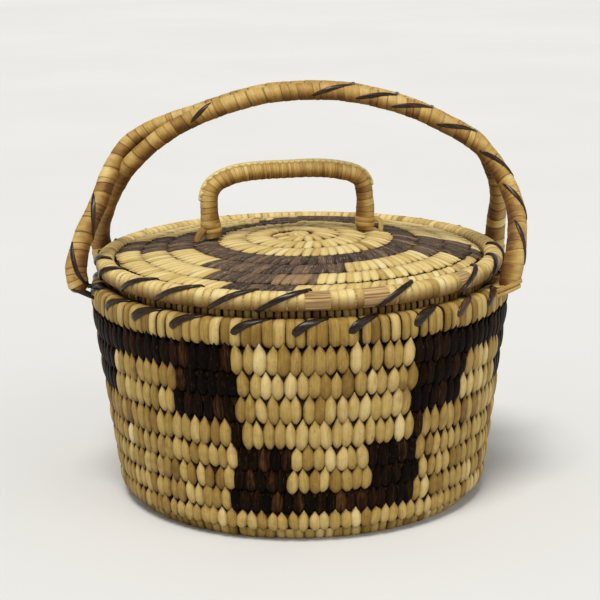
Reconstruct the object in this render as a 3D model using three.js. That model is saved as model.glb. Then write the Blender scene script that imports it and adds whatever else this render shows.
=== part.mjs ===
import * as THREE from 'three';

// Lidded coiled basket with a carrying handle, millimetres, +Z up.
// +X is the right of the basket, -Y its front; the origin is the middle of the face that it rests on.
// Basket and lid are each one long wrapped cord, laid turn on turn and sewn to the turn before.

const TURN = 2 * Math.PI;
const deg = (angle) => angle * Math.PI / 180;

// Gaps that touching pieces keep.
const seat = 0.4;
const betweenTurns = 0.5;

// The share of a cord's face that is flat where it is rounded most, and the half length at which a
// drawn-out end stops.
const roundedFlat = 0.5;
const endHalfLength = 0.4;

// Basket wall: a corner course and the courses above it, each sewn on the one below.
const courses = 8;
const coursePitch = 7.7;
const wallThickness = 6;
const cornerRadius = 55.8;
const cornerHeight = 3.4;
const firstCourseRadius = 61.6;
const firstCourseHeight = 8.3;
const wallFlare = deg(7.4);
const wallFlat = 0.82;
const wallFlatFrom = 2;

// Base: a flat spiral round a wrapped knot.
const baseTurns = 6;
const baseThickness = 6;
const baseFlat = 0.75;
const knotRadius = 3.8;

// Rim: one heavier cord, overcast with a dark strip.
const rimCordHeight = 6.3;
const rimCordWidth = 6.4;
const rimOverhang = 0.1;
const laceThickness = 0.8;
const laceWidth = 2.2;
const laceTurns = 22;
const laceClearance = 0.6;

// Lid: a domed spiral, its edge cord, and a plain cord below that drops inside the rim.
const lidThickness = 5;
const lidFlat = 0.75;
const lidRise = 5.8;
const lidDomePower = 1.6;
const lidTurns = 6.5;
const lidSpiralStart = deg(-30);
const lidEdgeWidth = 6.2;
const lidEdgeHeight = 4.5;
const lidEdgeInset = 2;
const lidEdgeGap = 1.4;
const flangeWidth = 6;
const flangeHeight = 5;

// Lid handle: a wrapped bar bent into an arch, set a little askew on the lid, with a seam sewn
// along its top and a binding round each foot.
const lidBarRadius = 3;
const lidHandleSpan = 53.8;
const lidHandleHeight = 22.4;
const lidHandleShoulder = 0.76;
const lidHandleYaw = deg(10.2);
const lidHandleX = -3;
const lidHandleY = 3.3;
const seamWidth = 2.8;
const seamThickness = 1;
const seamFrom = 0.2;
const seamTo = 0.8;
const footLashTurns = 2;
const footLashWidth = 1.3;

// Carrying handle: two wrapped strands side by side, which part into four legs outside the rim.
const strandRadius = 3.3;
const strandOffset = 3.55;
const archHeight = 138;
const legClearance = 0.2;
const footAboveRim = 3.1;
const legAngle = { rightFront: deg(-22), rightBack: deg(22), leftBack: deg(158), leftFront: deg(194) };

// Dark strips wound up the right front leg, then over both strands, and up the left front leg.
const rightLaceTurns = 7;
const leftLaceTurns = 3;
const bothStrandsFrom = 0.235;
const rightLaceSpan = [0.045, 0.44];
const leftLaceSpan = [0.955, 0.84];

// The lashing of a leg: a strip that comes out of the rim, rises round the foot and goes back, twice.
const lashSize = 0.9;
const lashSlack = 0.6;
const lashTurns = [{ fromRim: -0.6, upLeg: 1.6 }, { fromRim: 2, upLeg: 4.2 }];

// A climb from one course to the next takes this share of a turn, at the back.
const climb = 0.15;
const seam = deg(90);

const straw = { color: 0xc9a766, roughness: 0.62, metalness: 0 };
const paleStraw = { color: 0xd3b57a, roughness: 0.6, metalness: 0 };
const darkStrip = { color: 0x33231a, roughness: 0.45, metalness: 0 };

const basket = new THREE.Group();

function piece(name, geometry, look) {
  const mesh = new THREE.Mesh(geometry, new THREE.MeshStandardMaterial(look));
  mesh.name = name;
  basket.add(mesh);
  return mesh;
}

// One closed body through a row of sections, each a ring of as many points.
function sweep(sections) {
  const sides = sections[0].length;
  const positions = sections.flat().flatMap((point) => [point.x, point.y, point.z]);
  const faces = [];
  for (let row = 0; row + 1 < sections.length; row++) {
    for (let side = 0; side < sides; side++) {
      const here = row * sides + side;
      const next = row * sides + (side + 1) % sides;
      faces.push(here, next, next + sides, here, next + sides, here + sides);
    }
  }
  const last = (sections.length - 1) * sides;
  for (let side = 1; side + 1 < sides; side++) {
    faces.push(0, side + 1, side);
    faces.push(last, last + side, last + side + 1);
  }
  return outward(positions, faces);
}

function outward(positions, faces) {
  const corner = (index) => new THREE.Vector3().fromArray(positions, 3 * index);
  let volume = 0;
  for (let i = 0; i < faces.length; i += 3) {
    volume += corner(faces[i]).dot(corner(faces[i + 1]).cross(corner(faces[i + 2])));
  }
  if (volume < 0) faces.reverse();
  const geometry = new THREE.BufferGeometry();
  geometry.setAttribute('position', new THREE.Float32BufferAttribute(positions, 3));
  geometry.setIndex(faces);
  geometry.computeVertexNormals();
  return geometry;
}

// Six corners of a cord's section: half its length along the course, half its thickness across,
// all moved out by a distance. Its faces are flat over a share of its length.
function cordCorners(halfLength, halfThickness, out = 0, flat = roundedFlat) {
  const slope = halfLength * (1 - flat);
  const slant = Math.hypot(halfThickness, slope);
  const tip = halfLength + out * slant / halfThickness;
  const shoulder = halfLength * flat + out * (slant - slope) / halfThickness;
  const face = halfThickness + out;
  return [[tip, 0], [shoulder, face], [-shoulder, face], [-tip, 0], [-shoulder, -face], [shoulder, -face]];
}

// A place in the plane through the axis: along the course, across it, and round the axis.
function onCourse({ radius, height, tilt }, along, across, angle, sideways = 0) {
  const reach = radius + along * Math.cos(tilt) - across * Math.sin(tilt);
  return new THREE.Vector3(
    reach * Math.cos(angle) - sideways * Math.sin(angle),
    reach * Math.sin(angle) + sideways * Math.cos(angle),
    height + along * Math.sin(tilt) + across * Math.cos(tilt));
}

// Course number reached after some turns: level with a climb at the seam, or rising steadily.
function levelCourses(turns) {
  const whole = Math.floor(turns);
  return whole + Math.max(0, (turns - whole - 1 + climb) / climb);
}
const steadySpiral = (turns) => turns;

// A cord laid in courses, its two ends drawn out into wedges.
function coil({ name, turns, steps, lead, pitch, thickness, gap, meridian, course, thinning,
  start = seam }) {
  const sections = [];
  const places = [];
  const count = Math.round((turns + lead) * steps);
  for (let step = 0; step <= count; step++) {
    const turned = step / steps - lead;
    const low = Math.max(course(turned) - 0.5, -0.5);
    const high = Math.min(course(turned) + 0.5, turns - 0.5);
    const share = high - low;
    const halfLength = (share * pitch - gap) / 2;
    if (halfLength < endHalfLength) continue;
    const halfThickness = thickness / 2 * Math.min(1, share * thinning);
    const place = meridian((low + high) / 2);
    const angle = start + turned * TURN;
    sections.push(cordCorners(halfLength, halfThickness, 0, place.flat)
      .map(([along, across]) => onCourse(place, along, across, angle)));
    places.push(turned);
  }
  console.log(`${name}: least gap to itself ${leastGap(sections, places).toFixed(2)} mm`);
  return sweep(sections);
}

// Least distance from the corners of each section to the edges of the turns beside it, within a fifth
// of a turn.
const besideWithin = 0.2;
function leastGap(sections, places) {
  let least = Infinity;
  const edge = new THREE.Line3();
  const near = new THREE.Vector3();
  sections.forEach((section, i) => {
    sections.forEach((other, j) => {
      const apart = Math.abs(places[i] - places[j]);
      if (Math.abs(apart - 1) > besideWithin) return;
      other.forEach((start, side) => {
        const ends = [other[(side + 1) % other.length], (sections[j + 1] ?? other)[side]];
        for (const end of ends) {
          edge.set(start, end);
          for (const point of section) {
            least = Math.min(least, edge.closestPointToPoint(point, true, near).distanceTo(point));
          }
        }
      });
    });
  });
  return least;
}

// A flat strip wound round a cord that runs once round the axis.
function overcast({ place, halfLength, halfThickness, turns, phase }) {
  const inner = cordCorners(halfLength, halfThickness, laceClearance);
  const outer = cordCorners(halfLength, halfThickness, laceClearance + laceThickness);
  const sections = [];
  for (let step = 0; step < turns * inner.length; step++) {
    const side = step % inner.length;
    const angle = phase + step / inner.length * TURN / turns;
    sections.push([
      onCourse(place, ...inner[side], angle, -laceWidth / 2),
      onCourse(place, ...inner[side], angle, laceWidth / 2),
      onCourse(place, ...outer[side], angle, laceWidth / 2),
      onCourse(place, ...outer[side], angle, -laceWidth / 2),
    ]);
  }
  return sweep(sections);
}

// A bar's centre line, with directions to the front and across at each place on it.
function barLine(points) {
  const curve = new THREE.CatmullRomCurve3(points.map((point) => new THREE.Vector3(...point)));
  curve.arcLengthDivisions = 400;
  const line = (share, front) => {
    const centre = curve.getPointAt(share);
    const tangent = curve.getTangentAt(share);
    const ahead = front.clone().addScaledVector(tangent, -front.dot(tangent)).normalize();
    return { centre, ahead, across: new THREE.Vector3().crossVectors(tangent, ahead) };
  };
  line.shareOf = (distance) => distance / curve.getLength();
  return line;
}

const aroundBar = ({ centre, ahead, across }, radius, turn) => centre.clone()
  .addScaledVector(ahead, radius * Math.cos(turn))
  .addScaledVector(across, radius * Math.sin(turn));

const BAR_SIDES = 6;

function bar(line, front, radius, steps) {
  const sections = [];
  for (let step = 0; step <= steps; step++) {
    const frame = line(step / steps, front);
    sections.push(Array.from({ length: BAR_SIDES },
      (_, side) => aroundBar(frame, radius, side / BAR_SIDES * TURN)));
  }
  return sweep(sections);
}

// A flat strip wound round a bar, and round the bar behind it as well where beside says so. The far
// side of a bar is where it is turned this far from the front.
const farSide = -0.1;
function barWinding({ line, front, radius, from, to, turns, width, beside = () => null }) {
  const sections = [];
  const inner = radius + seat / Math.cos(Math.PI / BAR_SIDES);
  const outer = inner + laceThickness;
  for (let step = 0; step <= turns * BAR_SIDES; step++) {
    const share = from + (to - from) * step / (turns * BAR_SIDES);
    const frame = line(share, front);
    const turn = (step % BAR_SIDES - 1) / BAR_SIDES * TURN;
    const back = Math.cos(turn) < farSide ? beside(share) : null;
    if (back) frame.centre.add(back);
    const along = new THREE.Vector3().crossVectors(frame.ahead, frame.across).multiplyScalar(width / 2);
    const low = aroundBar(frame, inner, turn);
    const high = aroundBar(frame, outer, turn);
    sections.push([low.clone().sub(along), low.clone().add(along), high.clone().add(along),
      high.clone().sub(along)]);
  }
  return sweep(sections);
}

// Basket wall.
function wallCentre(course) {
  const up = Math.max(course - 1, 0) * coursePitch;
  const bend = THREE.MathUtils.clamp(course, 0, 1);
  const below = Math.min(course, 0) * coursePitch * Math.SQRT1_2;
  return {
    radius: THREE.MathUtils.lerp(cornerRadius, firstCourseRadius, bend) + up * Math.tan(wallFlare) + below,
    height: THREE.MathUtils.lerp(cornerHeight, firstCourseHeight, bend) + up + below,
    tilt: THREE.MathUtils.lerp(deg(45), deg(90) - wallFlare, bend),
    flat: THREE.MathUtils.lerp(roundedFlat, wallFlat, THREE.MathUtils.clamp(course - wallFlatFrom, 0, 1)),
  };
}
piece('wall_coil', coil({
  name: 'wall_coil', turns: courses + 1, steps: 20, lead: climb, pitch: coursePitch,
  thickness: wallThickness, gap: betweenTurns, meridian: wallCentre, course: levelCourses, thinning: 1,
}), straw);

// Base.
const cornerHalfLength = (coursePitch - betweenTurns) / 2;
const cornerInset = (cornerHalfLength / 2 + wallThickness / 2) * Math.SQRT1_2;
const baseEdge = cornerRadius - cornerInset - seat;
const basePitch = (baseEdge - knotRadius) / baseTurns;
const baseCentre = (course) => ({
  radius: knotRadius + (course + 0.5) * basePitch, height: baseThickness / 2, tilt: 0, flat: baseFlat,
});
piece('base_coil', coil({
  name: 'base_coil', turns: baseTurns, steps: 14, lead: 1, pitch: basePitch,
  thickness: baseThickness, gap: betweenTurns, meridian: baseCentre, course: steadySpiral, thinning: 2.4,
}), straw);

// The knot at the middle of a spiral, a short drum with rounded shoulders.
function knot(bottom, top) {
  const shoulder = (top - bottom) / 5;
  const outline = [[0, bottom], [knotRadius - shoulder, bottom], [knotRadius, bottom + shoulder],
    [knotRadius, top - shoulder], [knotRadius - shoulder, top], [0, top]];
  const geometry = new THREE.LatheGeometry(outline.map(([x, y]) => new THREE.Vector2(x, y)), 14);
  return geometry.rotateX(Math.PI / 2);
}
piece('base_start', knot(0, baseThickness), straw);

// Rim.
const rimHalfHeight = rimCordHeight / 2;
const rimHalfWidth = rimCordWidth / 2;
const laceOut = laceClearance + laceThickness;
const topCourse = wallCentre(courses);
const wallTop = topCourse.height + cornerHalfLength * Math.sin(topCourse.tilt);
const rimReach = cordCorners(rimHalfHeight, rimHalfWidth, laceOut)[0][0];
const rim = {
  radius: topCourse.radius + rimOverhang - rimHalfWidth + wallThickness / 2,
  height: wallTop + seat + rimReach,
  tilt: deg(90),
};
const EDGE_STEPS = 36;

// A cord that runs once round, its ends drawn out and laid one on the other.
const edgeCoil = (name, place, height, width, steps) => coil({
  name, turns: 1, steps, lead: climb, pitch: height + betweenTurns, thickness: width, gap: betweenTurns,
  meridian: (course) => ({ ...place, height: place.height + course * (height + betweenTurns) }),
  course: levelCourses, thinning: 1.5,
});
piece('rim_coil', edgeCoil('rim_coil', rim, rimCordHeight, rimCordWidth, EDGE_STEPS), paleStraw);
piece('rim_lacing', overcast({
  place: rim, halfLength: rimHalfHeight, halfThickness: rimHalfWidth, turns: laceTurns, phase: seam,
}), darkStrip);

// Flange: the height at which its lower outer slope meets the slope of the rim's lacing.
const laceCorners = cordCorners(rimHalfHeight, rimHalfWidth, laceOut);
const laceRise = (laceCorners[0][0] - laceCorners[1][0]) / laceCorners[1][1];
const flangeOuter = rim.radius - rimHalfWidth;
const laceHeightThere = rim.height + laceCorners[0][0] - laceRise * rimHalfWidth;
const flange = {
  radius: flangeOuter - flangeWidth / 2,
  height: laceHeightThere + flangeHeight / 4 + seat,
  tilt: deg(90),
};
piece('lid_flange_coil', edgeCoil('lid_flange_coil', flange, flangeHeight, flangeWidth, 24), straw);

// Lid edge and its lacing.
const rimTop = rim.height + rimReach;
const lidEdgeReach = cordCorners(lidEdgeHeight / 2, lidEdgeWidth / 2, laceOut)[0][0];
const lidEdge = {
  radius: rim.radius + rimHalfWidth - lidEdgeInset - lidEdgeWidth / 2,
  height: rimTop + lidEdgeGap + lidEdgeReach,
  tilt: deg(90),
};
piece('lid_rim_coil', edgeCoil('lid_rim_coil', lidEdge, lidEdgeHeight, lidEdgeWidth, EDGE_STEPS), paleStraw);
piece('lid_lacing', overcast({
  place: lidEdge, halfLength: lidEdgeHeight / 2, halfThickness: lidEdgeWidth / 2, turns: laceTurns,
  phase: seam + TURN / laceTurns / 2,
}), darkStrip);

// Lid spiral: a dome whose edge rests on the flange.
const lidSpiralEdge = lidEdge.radius - lidEdgeWidth / 2 - laceOut - seat;
const lidPitch = (lidSpiralEdge - knotRadius) / lidTurns;
const lidEdgeTop = flange.height + flangeHeight / 2 + seat + lidThickness;
const lidTop = (radius) => lidEdgeTop + lidRise * (1 - (Math.max(radius, 0) / lidSpiralEdge) ** lidDomePower);
function lidCentre(course) {
  const radius = knotRadius + (course + 0.5) * lidPitch;
  const slope = (lidTop(radius + 0.5) - lidTop(radius - 0.5));
  return { radius, height: lidTop(radius) - lidThickness / 2, tilt: Math.atan(slope), flat: lidFlat };
}
piece('lid_coil', coil({
  name: 'lid_coil', turns: lidTurns, steps: 15, lead: 1, pitch: lidPitch,
  thickness: lidThickness, gap: betweenTurns, meridian: lidCentre, course: steadySpiral, thinning: 2.4,
  start: lidSpiralStart,
}), paleStraw);
piece('lid_start', knot(lidTop(0) - lidThickness, lidTop(0)), paleStraw);

// Lid handle.
const lidHandleFront = new THREE.Vector3(Math.sin(lidHandleYaw), -Math.cos(lidHandleYaw), 0);
const halfSpan = lidHandleSpan / 2;
const footFloor = lidTop(halfSpan - lidBarRadius - Math.hypot(lidHandleX, lidHandleY)) + seat;
const lidArch = [
  [-1, 0], [-1.04, 0.42], [-0.98, lidHandleShoulder], [-0.68, 0.95], [0, 1],
  [0.68, 0.95], [0.98, lidHandleShoulder], [1.04, 0.42], [1, 0],
];
const lidArchPoints = lidArch.map(([across, up]) => [
  lidHandleX + across * halfSpan * Math.cos(lidHandleYaw),
  lidHandleY + across * halfSpan * Math.sin(lidHandleYaw),
  footFloor + up * lidHandleHeight,
]);
const lidBar = barLine(lidArchPoints);
piece('lid_handle', bar(lidBar, lidHandleFront, lidBarRadius, 32), paleStraw);
for (const [side, from, to] of [['left', 0.03, 0.085], ['right', 0.97, 0.915]]) {
  piece(`lid_handle_lashing_${side}`, barWinding({
    line: lidBar, front: lidHandleFront, radius: lidBarRadius, from, to, turns: footLashTurns,
    width: footLashWidth,
  }), paleStraw);
}

function seamStrip(steps) {
  const sections = [];
  const floor = lidBarRadius * Math.cos(Math.PI / BAR_SIDES) + seat;
  for (let step = 0; step <= steps; step++) {
    const share = THREE.MathUtils.lerp(seamFrom, seamTo, step / steps);
    const { centre, ahead, across } = lidBar(share, lidHandleFront);
    const upward = across.multiplyScalar(Math.sign(across.z) || 1);
    const at = (out, aside) => centre.clone().addScaledVector(upward, out).addScaledVector(ahead, aside);
    sections.push([at(floor, -seamWidth / 2), at(floor, seamWidth / 2),
      at(floor + seamThickness, seamWidth / 2), at(floor + seamThickness, -seamWidth / 2)]);
  }
  return sweep(sections);
}
piece('lid_handle_seam', seamStrip(22), paleStraw);

// Carrying handle: each strand goes up from its right leg, over the lid and down to its left leg.
// Its points are shares of the legs' reach across and to the back, and of the height from the feet
// to the top of the arch. The feet end outside the rim, level with its top.
const rimOutside = rim.radius + rimHalfWidth + laceOut;
const legReach = rimOutside + legClearance + strandRadius;
const footHeight = rim.height + footAboveRim;
const foot = (angle) => [legReach * Math.cos(angle), legReach * Math.sin(angle), footHeight];
const strandPoint = ([across, back, up]) => [
  across * legReach, back * legReach, THREE.MathUtils.lerp(footHeight, archHeight, up),
];
const strand = (rightLeg, points, leftLeg) => [foot(rightLeg), ...points.map(strandPoint), foot(leftLeg)];
const beside = strandOffset / legReach;
const frontStrandPoints = strand(legAngle.rightFront, [
  [0.958, -0.32, 0.188], [0.971, -0.183, 0.375], [0.916, -0.086, 0.539], [0.816, -beside, 0.691],
  [0.666, -beside, 0.806], [0.509, -beside, 0.898], [0.261, -beside, 0.981], [0.052, -beside, 1],
  [-0.157, -beside, 0.98], [-0.444, -beside, 0.875], [-0.601, -0.044, 0.772], [-0.725, -0.037, 0.647],
  [-0.803, 0.042, 0.508], [-0.877, 0.191, 0.336], [-0.929, 0.35, 0.164],
], legAngle.leftBack);
const backStrandPoints = strand(legAngle.rightBack, [
  [0.926, 0.352, 0.188], [0.924, 0.222, 0.375], [0.883, 0.104, 0.544], [0.816, beside, 0.691],
  [0.666, beside, 0.806], [0.509, beside, 0.898], [0.261, beside, 0.981], [0.052, beside, 1],
  [-0.157, beside, 0.983], [-0.444, 0.048, 0.884], [-0.614, 0.052, 0.825], [-0.757, 0.057, 0.741],
  [-0.864, 0.016, 0.606], [-0.926, -0.07, 0.445], [-0.971, -0.163, 0.281], [-0.988, -0.23, 0.109],
], legAngle.leftFront);
const handleFront = new THREE.Vector3(0, -1, 0);
const frontStrand = barLine(frontStrandPoints);
const backStrand = barLine(backStrandPoints);
piece('handle_front_strand', bar(frontStrand, handleFront, strandRadius, 40), straw);
piece('handle_back_strand', bar(backStrand, handleFront, strandRadius, 40), straw);

piece('handle_lacing_right', barWinding({
  line: frontStrand, front: handleFront, radius: strandRadius, from: rightLaceSpan[0],
  to: rightLaceSpan[1], turns: rightLaceTurns, width: laceWidth,
  beside: (share) => share > bothStrandsFrom ? new THREE.Vector3(0, 2 * strandOffset, 0) : null,
}), darkStrip);
piece('handle_lacing_left', barWinding({
  line: backStrand, front: handleFront, radius: strandRadius, from: leftLaceSpan[0],
  to: leftLaceSpan[1], turns: leftLaceTurns, width: laceWidth,
}), darkStrip);

// A hairpin of strip that binds the foot of a leg to the outside of the rim. Each pass rises evenly
// from the rim to the far side of the leg, and keeps to the leg's middle at its own height.
function legLashing(line, angle, atRight) {
  const radial = new THREE.Vector3(Math.cos(angle), Math.sin(angle), 0);
  const sideways = new THREE.Vector3(-Math.sin(angle), Math.cos(angle), 0);
  const inner = rimOutside + seat + lashSize / 2 - legReach;
  const out = strandRadius + seat + lashSize;
  const outer = out + lashSlack;
  const loop = [[inner, -out], [lashSize, -out], [outer, 0], [lashSize, out], [inner, out]];
  const passes = lashTurns.map(({ fromRim, upLeg }) => loop.map(([away, aside]) => {
    const rise = (away - inner) / (outer - inner);
    const height = THREE.MathUtils.lerp(rim.height + fromRim, footHeight + upLeg, rise);
    const share = line.shareOf(Math.max(height - footHeight, 0));
    const { centre } = line(atRight ? share : 1 - share, handleFront);
    return centre.addScaledVector(radial, away).addScaledVector(sideways, aside).setZ(height);
  }));
  const curve = new THREE.CatmullRomCurve3([...passes[0], ...passes[1].toReversed()]);
  const corner = lashSize * Math.SQRT1_2;
  const square = Array.from({ length: 4 }, (_, side) => new THREE.Vector2(
    corner * Math.cos(side * TURN / 4), corner * Math.sin(side * TURN / 4)));
  return new THREE.ExtrudeGeometry(new THREE.Shape(square),
    { steps: 14, extrudePath: curve, bevelEnabled: false });
}
piece('handle_lashing_right_front', legLashing(frontStrand, legAngle.rightFront, true), darkStrip);
piece('handle_lashing_right_back', legLashing(backStrand, legAngle.rightBack, true), straw);
piece('handle_lashing_left_back', legLashing(frontStrand, legAngle.leftBack, false), straw);
piece('handle_lashing_left_front', legLashing(backStrand, legAngle.leftFront, false), darkStrip);

const triangles = basket.children.reduce((sum, mesh) => {
  const { index, attributes } = mesh.geometry;
  return sum + (index ? index.count : attributes.position.count) / 3;
}, 0);
console.log(`${basket.children.length} pieces, ${triangles} triangles`);
console.log(`rim ${rim.height.toFixed(2)} at ${rim.radius.toFixed(2)}, lid edge ${lidEdge.height.toFixed(2)}`
  + ` at ${lidEdge.radius.toFixed(2)}, lid top ${lidTop(0).toFixed(2)}, foot ${footFloor.toFixed(2)}`);

export default basket;
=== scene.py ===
from math import ceil, cos, pi, radians, sin, sqrt, tan
from types import SimpleNamespace

import bpy
import numpy as np
from mathutils import Matrix, Vector


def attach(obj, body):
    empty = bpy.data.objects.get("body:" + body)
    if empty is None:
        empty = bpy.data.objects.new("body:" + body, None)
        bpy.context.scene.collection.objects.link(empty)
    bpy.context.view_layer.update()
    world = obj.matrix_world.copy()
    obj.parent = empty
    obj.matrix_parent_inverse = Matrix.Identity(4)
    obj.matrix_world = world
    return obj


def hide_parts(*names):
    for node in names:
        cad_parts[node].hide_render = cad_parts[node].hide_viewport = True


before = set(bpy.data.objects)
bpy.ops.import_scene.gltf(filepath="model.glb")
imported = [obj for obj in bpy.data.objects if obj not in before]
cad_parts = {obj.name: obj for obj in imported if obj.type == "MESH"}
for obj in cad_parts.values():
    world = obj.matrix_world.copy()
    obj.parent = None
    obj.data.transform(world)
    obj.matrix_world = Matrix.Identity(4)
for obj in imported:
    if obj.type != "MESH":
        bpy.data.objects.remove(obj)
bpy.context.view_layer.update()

# Lengths are in millimetres until a mesh is made, angles round the basket are counted from +X.
# Front angles, in degrees, are counted from the front, with the right of the basket positive.
MM = 0.001
TURN = 2 * pi
rng = np.random.default_rng(7)

# How far stitches and wraps may stand from their even places, in spaces, and how finely a cord is measured.
STITCH_PLAY, WRAP_PLAY, LAY_SAMPLES = 0.12, 0.14, 8000

# Wall and base. Each turn of the wall's cord climbs to the next course over its last share, before the seam.
# The corner course stands out by its fullness, at its own tilt. Row bounds are the heights between courses.
SEAM = radians(90)
CLIMB = 0.15
COURSES, COURSE_PITCH, WALL_STITCHES_PER_TURN = 8, 7.7, 119.5
CORNER_RADIUS, CORNER_HEIGHT = 55.8, 3.4
CORNER_FULLNESS, CORNER_TILT = 1.0, radians(66)
FIRST_RADIUS, FIRST_HEIGHT = 61.6, 8.3
WALL_FLARE = radians(7.4)
ROW_BOUNDS = [-3.0, 4.4, 10.6, 17.9, 25.4, 33.0, 41.8, 50.3, 58.3, 65.9]
KNOT_RADIUS = 3.8
BASE_TURNS, BASE_PITCH, BASE_THICKNESS = 6, 8.03, 6

# Rim, flange and lid. Laces are the front angles of the dark passes at the front, and so many more follow
# behind. Worn edge gives the places where the lid's edge has lost its wraps, each with half its width.
RIM_RADIUS, RIM_HEIGHT, RIM_SECTION = 68.5, 70.88, (4.3, 3.2)
FLANGE_RADIUS, FLANGE_HEIGHT = 62.3, 75.66
LID_EDGE_RADIUS, LID_EDGE_HEIGHT = 66.6, 80.73
LID_SPIRAL_EDGE, LID_SPIRAL_START = 61.7, radians(-30)
LID_TURNS, LID_THICKNESS = 6.5, 5
LID_PITCH = (LID_SPIRAL_EDGE - KNOT_RADIUS) / LID_TURNS
LID_EDGE_TOP, LID_RISE, LID_DOME_POWER = 83.56, 5.8, 1.6
RIM_LACES = [-60.7, -46.7, -32.9, -15.4, -0.2, 13.6, 31.4, 45.8, 60.7]
LID_LACES = [-69, -51.5, -36, -19, -5.3, 25.5, 52.5, 68]
LACES_BEHIND = 13
WORN_EDGE = [(4.5, 3.0), (19.5, 2.9), (51, 2.4)]

# Pattern on the wall: brackets hang from the top course and cups stand on the second from below.
BRACKETS = [(-80, -17.6), (31.3, 87), (151.3, 215.7)]
CUPS = [(-19.5, 34.5), (87, 151.3), (215.7, 280)]
BRACKET_LEG, CUP_LEG, LINK = 17.6, 16.2, 3.4

# Pattern on the lid: a ring, then petals, each a row of three widths from the ring outwards. One part of
# the front petal is worn pale.
LID_RING_START = 2.33
PETALS = [(-12, (62, 40, 21)), (81, (36, 24, 14)), (170, (60, 39, 20)), (-96, (42, 30, 17))]
WORN_ROW, WORN_FROM, WORN_TO = 2, -10, 12

# Carrying handle. A strand goes from its right foot to its left one. Its places are shares of the legs'
# reach, to the right and to the back, and of the arch's rise. Both strands share the part where they lie
# together. Marks are the distances along a strand at which a dark strip crosses its front, and its swell is
# its thickness along its length. Over rim is how a leg's inner bindings go: how far in from the legs, how
# high, and how far spread.
STRAND_RADIUS, STRAND_OFFSET = 3.3, 3.55
LEG_REACH, FOOT_REACH, FOOT_HEIGHT, ARCH_HEIGHT, RIM_OUTSIDE = 76.6, 75.9, 73.98, 138, 73.1
FOOT_DROP, RIGHT_FRONT_IN = 0.3, 1.8
LEG_ANGLES = {"right_front": -22, "right_back": 22, "left_back": 158, "left_front": 194}
BESIDE = STRAND_OFFSET / LEG_REACH
TOGETHER = [(0.666, 0.806), (0.509, 0.898), (0.261, 0.981), (0.052, 1)]
FRONT_STRAND = [
    (0.936, -0.32, 0.188), (0.953, -0.183, 0.375), (0.905, -0.086, 0.539), (0.812, -BESIDE, 0.691),
    *((across, -BESIDE, up) for across, up in TOGETHER),
    (-0.157, -BESIDE, 0.98), (-0.444, -BESIDE, 0.875), (-0.601, -0.044, 0.772), (-0.726, -0.03, 0.645),
    (-0.814, 0.07, 0.504), (-0.886, 0.2, 0.334), (-0.934, 0.352, 0.163),
]
BACK_STRAND = [
    (0.926, 0.352, 0.188), (0.924, 0.222, 0.375), (0.883, 0.104, 0.544), (0.816, BESIDE, 0.691),
    *((across, BESIDE, up) for across, up in TOGETHER),
    (-0.157, BESIDE, 0.983), (-0.444, 0.048, 0.884), (-0.614, 0.052, 0.817), (-0.742, 0.044, 0.735),
    (-0.825, -0.008, 0.606), (-0.877, -0.081, 0.452), (-0.943, -0.164, 0.288), (-0.979, -0.23, 0.117),
]
RIGHT_MARKS = [16.5, 32.5, 48, 66, 82.6, 95, 110]
TOP_MARK = 153.8
LEFT_MARKS = [210, 228.5]
BOTH_STRANDS_FROM = 56
UP = np.array([0, 0, 1])
OVER_RIM = [(2.4, 76.2, 1), (4.2, 75.3, 1.1), (6.6, 75.55, 1.25), (8.8, 75.3, 1.4), (10.2, 74.2, 1.5)]
STRAND_SWELL = ([0, 0.003, 0.01, 0.03, 0.06, 0.12, 0.3, 0.5, 0.7, 0.88, 0.94, 0.97, 0.99, 0.997, 1],
                [0.45, 0.8, 1.02, 1.1, 1.02, 0.95, 0.9, 0.88, 0.9, 0.95, 1.02, 1.12, 1.08, 0.85, 0.45])

# Lid handle. Its arch runs from the right foot to the left one, in shares of half its span and its height.
LID_BAR_RADIUS, LID_HANDLE_SPAN, LID_HANDLE_HEIGHT = 3, 53.8, 22.4
LID_HANDLE_FOOT, LID_HANDLE_SHOULDER = 88.85, 0.76
LID_HANDLE_YAW = radians(10.2)
LID_HANDLE_X, LID_HANDLE_Y = -3, 3.3
LID_ARCH = [(0.98, 0), (0.99, 0.42), (0.94, LID_HANDLE_SHOULDER), (0.66, 0.91), (0, 0.96),
            (-0.68, 0.925), (-0.98, LID_HANDLE_SHOULDER), (-1.04, 0.42), (-1, 0)]
LID_BAR_SWELL = ([0, 0.02, 0.06, 0.12, 0.5, 0.88, 0.94, 0.98, 1],
                 [0.92, 1.06, 1.1, 1, 0.93, 1, 1.1, 1.06, 0.92])
SEAM_FROM, SEAM_TO, SEAM_STEP = 0.17, 0.83, 2.1

# Widths of a pad or strip along its length, as shares of it, and how its shade runs along it.
PICKET = ([0, 0.06, 0.14, 0.3, 0.58, 0.72, 0.85, 0.95, 1], [0.16, 0.44, 0.76, 1, 1, 0.8, 0.46, 0.17, 0.03])
WRAP = ([0, 0.02, 0.06, 0.12, 0.95, 1], [0.4, 0.75, 0.95, 1, 1, 0.6])
TUSK = ([0, 0.06, 0.12, 0.18, 0.25, 0.95, 1], [0.12, 0.34, 0.68, 0.93, 1, 1, 0.7])
TOOTH = ([0, 0.05, 0.15, 0.72, 0.88, 1], [0.6, 0.9, 1, 1, 0.78, 0.3])
STRIP = ([0, 0.05, 0.15, 0.85, 0.95, 1], [0.45, 0.75, 1, 1, 0.8, 0.5])
BLADE = ([0, 0.03, 0.08, 0.2, 0.4, 0.7, 0.9, 1], [0.4, 0.75, 0.95, 1, 0.85, 0.55, 0.4, 0.25])
FLOAT = ([0, 0.08, 0.25, 0.5, 0.62, 1], [0.25, 0.75, 1, 0.9, 0.7, 0.9])
LENS = ([0, 0.15, 0.4, 0.6, 0.85, 1], [0.25, 0.75, 1, 1, 0.7, 0.2])
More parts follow.
